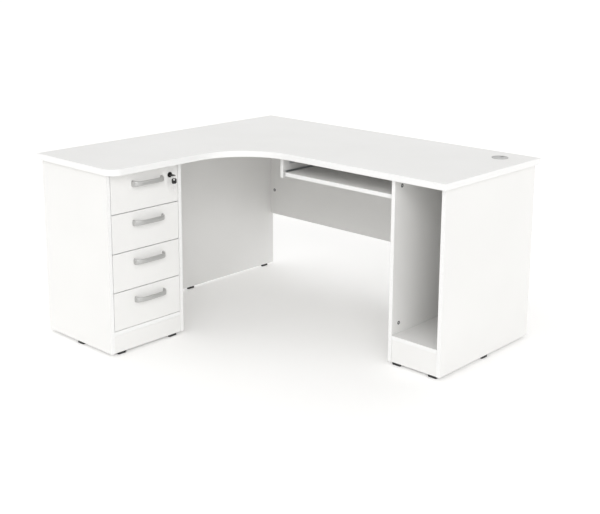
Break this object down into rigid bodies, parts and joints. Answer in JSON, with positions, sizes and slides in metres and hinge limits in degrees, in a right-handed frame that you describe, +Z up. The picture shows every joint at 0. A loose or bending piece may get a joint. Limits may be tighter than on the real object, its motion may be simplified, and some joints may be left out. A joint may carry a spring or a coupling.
{
  "type": "corner desk",
  "caption": "White L-shaped corner desk with a curved inner edge, a lockable drawer pedestal, a sliding keyboard tray, an open computer cabinet and a cable grommet.",
  "frame": {"origin": "on the floor under the middle of the worktop's bounding box", "axes": "+Z up, +X along the main wing towards the computer cabinet, -Y towards the sitter along the pedestal wing"},
  "size_m": [1.5, 1.335, 0.7525],
  "materials": {
    "melamine": "satin white melamine-faced board",
    "edging": "smooth white plastic edge band",
    "grommet_plastic": "light grey moulded plastic",
    "foot_plastic": "black moulded plastic",
    "satin_nickel": "satin metal",
    "zinc_steel": "bright zinc-plated sheet steel",
    "black_nickel": "dark polished black-nickel plate",
    "chrome": "polished chrome plate",
    "key_plastic": "black moulded key heads on plated steel blades"
  },
  "bodies": {
    "desk_frame": {"worktop": "melamine", "wing_back_panel": "melamine", "modesty_panel": "melamine", "pedestal_outer_side": "melamine", "pedestal_inner_side": "melamine", "pedestal_back": "melamine", "pedestal_floor": "melamine", "pedestal_plinth": "melamine", "pedestal_top_rail": "melamine", "cabinet_inner_side": "melamine", "cabinet_outer_side": "melamine", "cabinet_back": "melamine", "cabinet_shelf": "melamine", "cabinet_plinth": "melamine", "tray_hanger_panel": "melamine", "worktop_edge_band": "edging", "grommet_sleeve": "grommet_plastic", "foot_pedestal_front_outer": "foot_plastic", "foot_pedestal_front_inner": "foot_plastic", "foot_pedestal_outer_side": "foot_plastic", "foot_pedestal_inner_side": "foot_plastic", "foot_pedestal_back": "foot_plastic", "foot_wing_panel_middle": "foot_plastic", "foot_wing_panel_corner": "foot_plastic", "foot_cabinet_front_inner": "foot_plastic", "foot_cabinet_front_outer": "foot_plastic", "foot_cabinet_inner_side": "foot_plastic", "foot_cabinet_outer_side": "foot_plastic", "foot_cabinet_back": "foot_plastic", "drawer_1_runner_outer": "zinc_steel", "drawer_1_runner_inner": "zinc_steel", "drawer_2_runner_outer": "zinc_steel", "drawer_2_runner_inner": "zinc_steel", "drawer_3_runner_outer": "zinc_steel", "drawer_3_runner_inner": "zinc_steel", "drawer_4_runner_outer": "zinc_steel", "drawer_4_runner_inner": "zinc_steel", "tray_slide_left_outer": "zinc_steel", "tray_slide_right_outer": "zinc_steel"},
    "drawer_1": {"drawer_1_front": "melamine", "drawer_1_box": "melamine", "drawer_1_handle": "satin_nickel", "lock_barrel": "black_nickel"},
    "drawer_2": {"drawer_2_front": "melamine", "drawer_2_box": "melamine", "drawer_2_handle": "satin_nickel"},
    "drawer_3": {"drawer_3_front": "melamine", "drawer_3_box": "melamine", "drawer_3_handle": "satin_nickel"},
    "drawer_4": {"drawer_4_front": "melamine", "drawer_4_box": "melamine", "drawer_4_handle": "satin_nickel"},
    "keyboard_tray": {"keyboard_tray": "melamine", "tray_slide_left_inner": "zinc_steel", "tray_slide_right_inner": "zinc_steel"},
    "lock_plug": {"lock_plug": "black_nickel"},
    "key": {"key": "key_plastic"},
    "key_ring": {"key_ring": "chrome", "spare_key": "key_plastic"},
    "grommet_cap": {"grommet_cap": "grommet_plastic"}
  },
  "joints": [
    {"name": "drawer_1_slide", "type": "slide", "parent": "desk_frame", "child": "drawer_1", "axis": [1, 0, 0], "range_m": [0, 0.26]},
    {"name": "drawer_2_slide", "type": "slide", "parent": "desk_frame", "child": "drawer_2", "axis": [1, 0, 0], "range_m": [0, 0.26]},
    {"name": "drawer_3_slide", "type": "slide", "parent": "desk_frame", "child": "drawer_3", "axis": [1, 0, 0], "range_m": [0, 0.26]},
    {"name": "drawer_4_slide", "type": "slide", "parent": "desk_frame", "child": "drawer_4", "axis": [1, 0, 0], "range_m": [0, 0.26]},
    {"name": "keyboard_tray_slide", "type": "slide", "parent": "desk_frame", "child": "keyboard_tray", "axis": [0, -1, 0], "range_m": [0, 0.26]},
    {"name": "lock_turn", "type": "hinge", "parent": "drawer_1", "child": "lock_plug", "pos_m": [-0.312, -0.3455, 0.678], "axis": [1, 0, 0], "range_deg": [0, 90]},
    {"name": "key_pull", "type": "slide", "parent": "lock_plug", "child": "key", "axis": [1, 0, 0], "range_m": [0, 0.035]},
    {"name": "ring_swing", "type": "hinge", "parent": "key", "child": "key_ring", "pos_m": [-0.288, -0.3455, 0.678], "axis": [1, 0, 0], "range_deg": [-25, 25]},
    {"name": "grommet_cap_lift", "type": "slide", "parent": "desk_frame", "child": "grommet_cap", "axis": [0, 0, 1], "range_m": [0, 0.03]}
  ]
}
